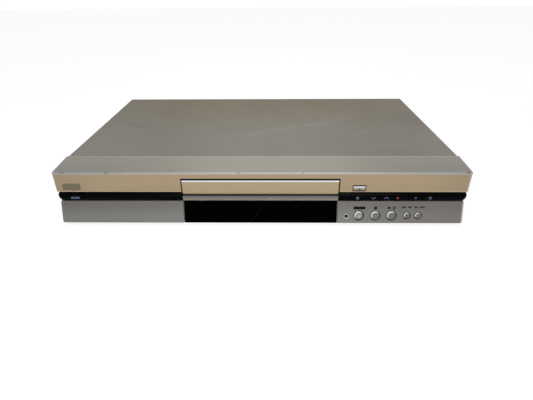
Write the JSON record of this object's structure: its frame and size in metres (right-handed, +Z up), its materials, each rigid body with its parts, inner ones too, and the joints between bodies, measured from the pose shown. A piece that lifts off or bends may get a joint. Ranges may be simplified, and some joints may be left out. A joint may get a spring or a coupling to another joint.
{
  "type": "disc recorder",
  "caption": "Slim, wide home disc recorder with a sliding disc tray, push keys, a drop-down socket flap and a metal cover.",
  "frame": {"origin": "on the standing surface, under the middle of the machine's overall box", "axes": "+X to the right seen from the front, +Y to the rear, +Z up"},
  "size_m": [0.43, 0.2845, 0.062],
  "materials": {
    "cover_grey": "satin paint on steel",
    "silver_plastic": "silver painted plastic",
    "champagne_plate": "fine satin",
    "black_bead": "gloss",
    "lip_silver": "semi-gloss silver",
    "window_black": "polished acrylic",
    "panel_grey": "satin grey paint",
    "button_metal": "bright plated",
    "clear_lens": "clear",
    "rubber": "matte",
    "steel": "zinc plated sheet",
    "screw_steel": "plated",
    "black_plastic": "moulded",
    "grey_plastic": "moulded",
    "tray_plastic": "fine moulded",
    "board_green": "soldered board",
    "tube_glass": "smoked glass",
    "white_plastic": "acetal",
    "plated_socket": "nickel",
    "foil_blue": "sleeve",
    "core_iron": "laminated"
  },
  "bodies": {
    "cabinet": {"top_cover": "cover_grey", "base_pan": "steel", "rear_panel": "steel", "front_frame": "silver_plastic", "upper_fascia": "champagne_plate", "left_band": "black_bead", "right_band": "black_bead", "display_window": "window_black", "control_panel": "panel_grey", "jack_panel": "black_plastic", "front_jacks": "plated_socket", "feet": "rubber", "case_screws": "screw_steel", "ac_inlet": "black_plastic", "rear_jacks": "plated_socket", "fan_frame": "black_plastic", "upper_key_board": "board_green", "lower_key_board": "board_green", "key_switches": "black_plastic", "display_tube": "tube_glass", "indicator_lens": "clear_lens", "main_board": "board_green", "tuner_module": "plated_socket", "power_board": "board_green", "power_transformer": "core_iron", "power_capacitors": "foil_blue", "drive_frame": "grey_plastic", "clamp_bridge": "steel", "loading_motor": "screw_steel", "loading_belt": "rubber"},
    "tray": {"disc_tray": "tray_plastic", "tray_door": "champagne_plate", "tray_lip": "lip_silver"},
    "flap": {"jack_flap": "panel_grey"},
    "power_key": {"power_key": "black_bead"},
    "open_close_button": {"open_close_button": "champagne_plate"},
    "rec_mode_key": {"rec_mode_key": "black_bead"},
    "channel_down_key": {"channel_down_key": "black_bead"},
    "channel_up_key": {"channel_up_key": "black_bead"},
    "rec_key": {"rec_key": "black_bead"},
    "erase_key": {"erase_key": "black_bead"},
    "timer_key": {"timer_key": "black_bead"},
    "live_pause_button": {"live_pause_button": "button_metal"},
    "stop_button": {"stop_button": "button_metal"},
    "play_button": {"play_button": "button_metal"},
    "skip_back_button": {"skip_back_button": "button_metal"},
    "skip_forward_button": {"skip_forward_button": "button_metal"},
    "clamper": {"clamper": "white_plastic"},
    "traverse": {"traverse_base": "grey_plastic", "spindle_motor": "screw_steel", "guide_rods": "plated_socket", "feed_motor": "screw_steel"},
    "turntable": {"turntable": "black_plastic"},
    "sled": {"pickup_sled": "black_plastic"},
    "lens": {"lens_holder": "clear_lens"},
    "feed_screw": {"feed_screw": "plated_socket"},
    "motor_pulley": {"motor_pulley": "white_plastic"},
    "pulley_gear": {"pulley_gear": "white_plastic"},
    "tray_drive_gear": {"tray_drive_gear": "white_plastic"},
    "fan_rotor": {"fan_rotor": "black_plastic"}
  },
  "joints": [
    {"name": "tray_slide", "type": "slide", "parent": "cabinet", "child": "tray", "axis": [0, -1, 0], "range_m": [0, 0.148]},
    {"name": "drive_gear_spin", "type": "hinge", "parent": "cabinet", "child": "tray_drive_gear", "pos_m": [-0.05285, -0.09664, 0.0314], "axis": [0, 0, 1], "range_deg": [0, 972]},
    {"name": "pulley_gear_spin", "type": "hinge", "parent": "cabinet", "child": "pulley_gear", "pos_m": [-0.03121, -0.10244, 0.0283], "axis": [0, 0, 1], "range_deg": [-3556, 0]},
    {"name": "motor_pulley_spin", "type": "hinge", "parent": "cabinet", "child": "motor_pulley", "pos_m": [0.00679, -0.10244, 0.0283], "axis": [0, 0, 1], "range_deg": [-13201, 0]},
    {"name": "flap_swing", "type": "hinge", "parent": "cabinet", "child": "flap", "pos_m": [-0.1462, -0.13948, 0.00525], "axis": [1, 0, 0], "range_deg": [0, 100]},
    {"name": "power_key_press", "type": "slide", "parent": "cabinet", "child": "power_key", "axis": [0, 1, 0], "range_m": [0, 0.0007], "stiffness_N_per_m": 400, "springref_m": -0.0005},
    {"name": "open_close_button_press", "type": "slide", "parent": "cabinet", "child": "open_close_button", "axis": [0, 1, 0], "range_m": [0, 0.0007], "stiffness_N_per_m": 400, "springref_m": -0.0005},
    {"name": "rec_mode_key_press", "type": "slide", "parent": "cabinet", "child": "rec_mode_key", "axis": [0, 1, 0], "range_m": [0, 0.0007], "stiffness_N_per_m": 400, "springref_m": -0.0005},
    {"name": "channel_down_key_press", "type": "slide", "parent": "cabinet", "child": "channel_down_key", "axis": [0, 1, 0], "range_m": [0, 0.0007], "stiffness_N_per_m": 400, "springref_m": -0.0005},
    {"name": "channel_up_key_press", "type": "slide", "parent": "cabinet", "child": "channel_up_key", "axis": [0, 1, 0], "range_m": [0, 0.0007], "stiffness_N_per_m": 400, "springref_m": -0.0005},
    {"name": "rec_key_press", "type": "slide", "parent": "cabinet", "child": "rec_key", "axis": [0, 1, 0], "range_m": [0, 0.0007], "stiffness_N_per_m": 400, "springref_m": -0.0005},
    {"name": "erase_key_press", "type": "slide", "parent": "cabinet", "child": "erase_key", "axis": [0, 1, 0], "range_m": [0, 0.0007], "stiffness_N_per_m": 400, "springref_m": -0.0005},
    {"name": "timer_key_press", "type": "slide", "parent": "cabinet", "child": "timer_key", "axis": [0, 1, 0], "range_m": [0, 0.0007], "stiffness_N_per_m": 400, "springref_m": -0.0005},
    {"name": "live_pause_button_press", "type": "slide", "parent": "cabinet", "child": "live_pause_button", "axis": [0, 0.9578, -0.2874], "range_m": [0, 0.0007], "stiffness_N_per_m": 400, "springref_m": -0.0005},
    {"name": "stop_button_press", "type": "slide", "parent": "cabinet", "child": "stop_button", "axis": [0, 0.9578, -0.2874], "range_m": [0, 0.0007], "stiffness_N_per_m": 400, "springref_m": -0.0005},
    {"name": "play_button_press", "type": "slide", "parent": "cabinet", "child": "play_button", "axis": [0, 0.9578, -0.2874], "range_m": [0, 0.0007], "stiffness_N_per_m": 400, "springref_m": -0.0005},
    {"name": "skip_back_button_press", "type": "slide", "parent": "cabinet", "child": "skip_back_button", "axis": [0, 0.9578, -0.2874], "range_m": [0, 0.0007], "stiffness_N_per_m": 400, "springref_m": -0.0005},
    {"name": "skip_forward_button_press", "type": "slide", "parent": "cabinet", "child": "skip_forward_button", "axis": [0, 0.9578, -0.2874], "range_m": [0, 0.0007], "stiffness_N_per_m": 400, "springref_m": -0.0005},
    {"name": "clamper_spin", "type": "hinge", "parent": "cabinet", "child": "clamper", "pos_m": [-0.0006, -0.05064, 0.0462], "axis": [0, 0, 1], "continuous": true},
    {"name": "traverse_lift", "type": "hinge", "parent": "cabinet", "child": "traverse", "pos_m": [-0.0006, 0.03036, 0.03], "axis": [-1, 0, 0], "range_deg": [0, 5]},
    {"name": "turntable_spin", "type": "hinge", "parent": "traverse", "child": "turntable", "pos_m": [-0.0006, -0.05157, 0.03709], "axis": [0, -0.0872, 0.9962], "continuous": true},
    {"name": "sled_run", "type": "slide", "parent": "traverse", "child": "sled", "axis": [0, 0.9962, 0.0872], "range_m": [0, 0.035]},
    {"name": "feed_screw_spin", "type": "hinge", "parent": "traverse", "child": "feed_screw", "pos_m": [0.0304, -0.03469, 0.02772], "axis": [0, 0.9962, 0.0872], "range_deg": [0, 4202]},
    {"name": "lens_focus", "type": "slide", "parent": "sled", "child": "lens", "axis": [0, -0.0872, 0.9962], "range_m": [-0.0006, 0.0006], "stiffness_N_per_m": 60},
    {"name": "fan_spin", "type": "hinge", "parent": "cabinet", "child": "fan_rotor", "pos_m": [-0.06, 0.11626, 0.0302], "axis": [0, 1, 0], "continuous": true}
  ],
  "couplings": [
    {"joint": "drive_gear_spin", "follows": "tray_slide", "rad_per_m": 114.29},
    {"joint": "pulley_gear_spin", "follows": "tray_slide", "rad_per_m": -419.05},
    {"joint": "motor_pulley_spin", "follows": "tray_slide", "rad_per_m": -1556.5},
    {"joint": "feed_screw_spin", "follows": "sled_run", "rad_per_m": 2094.4}
  ]
}
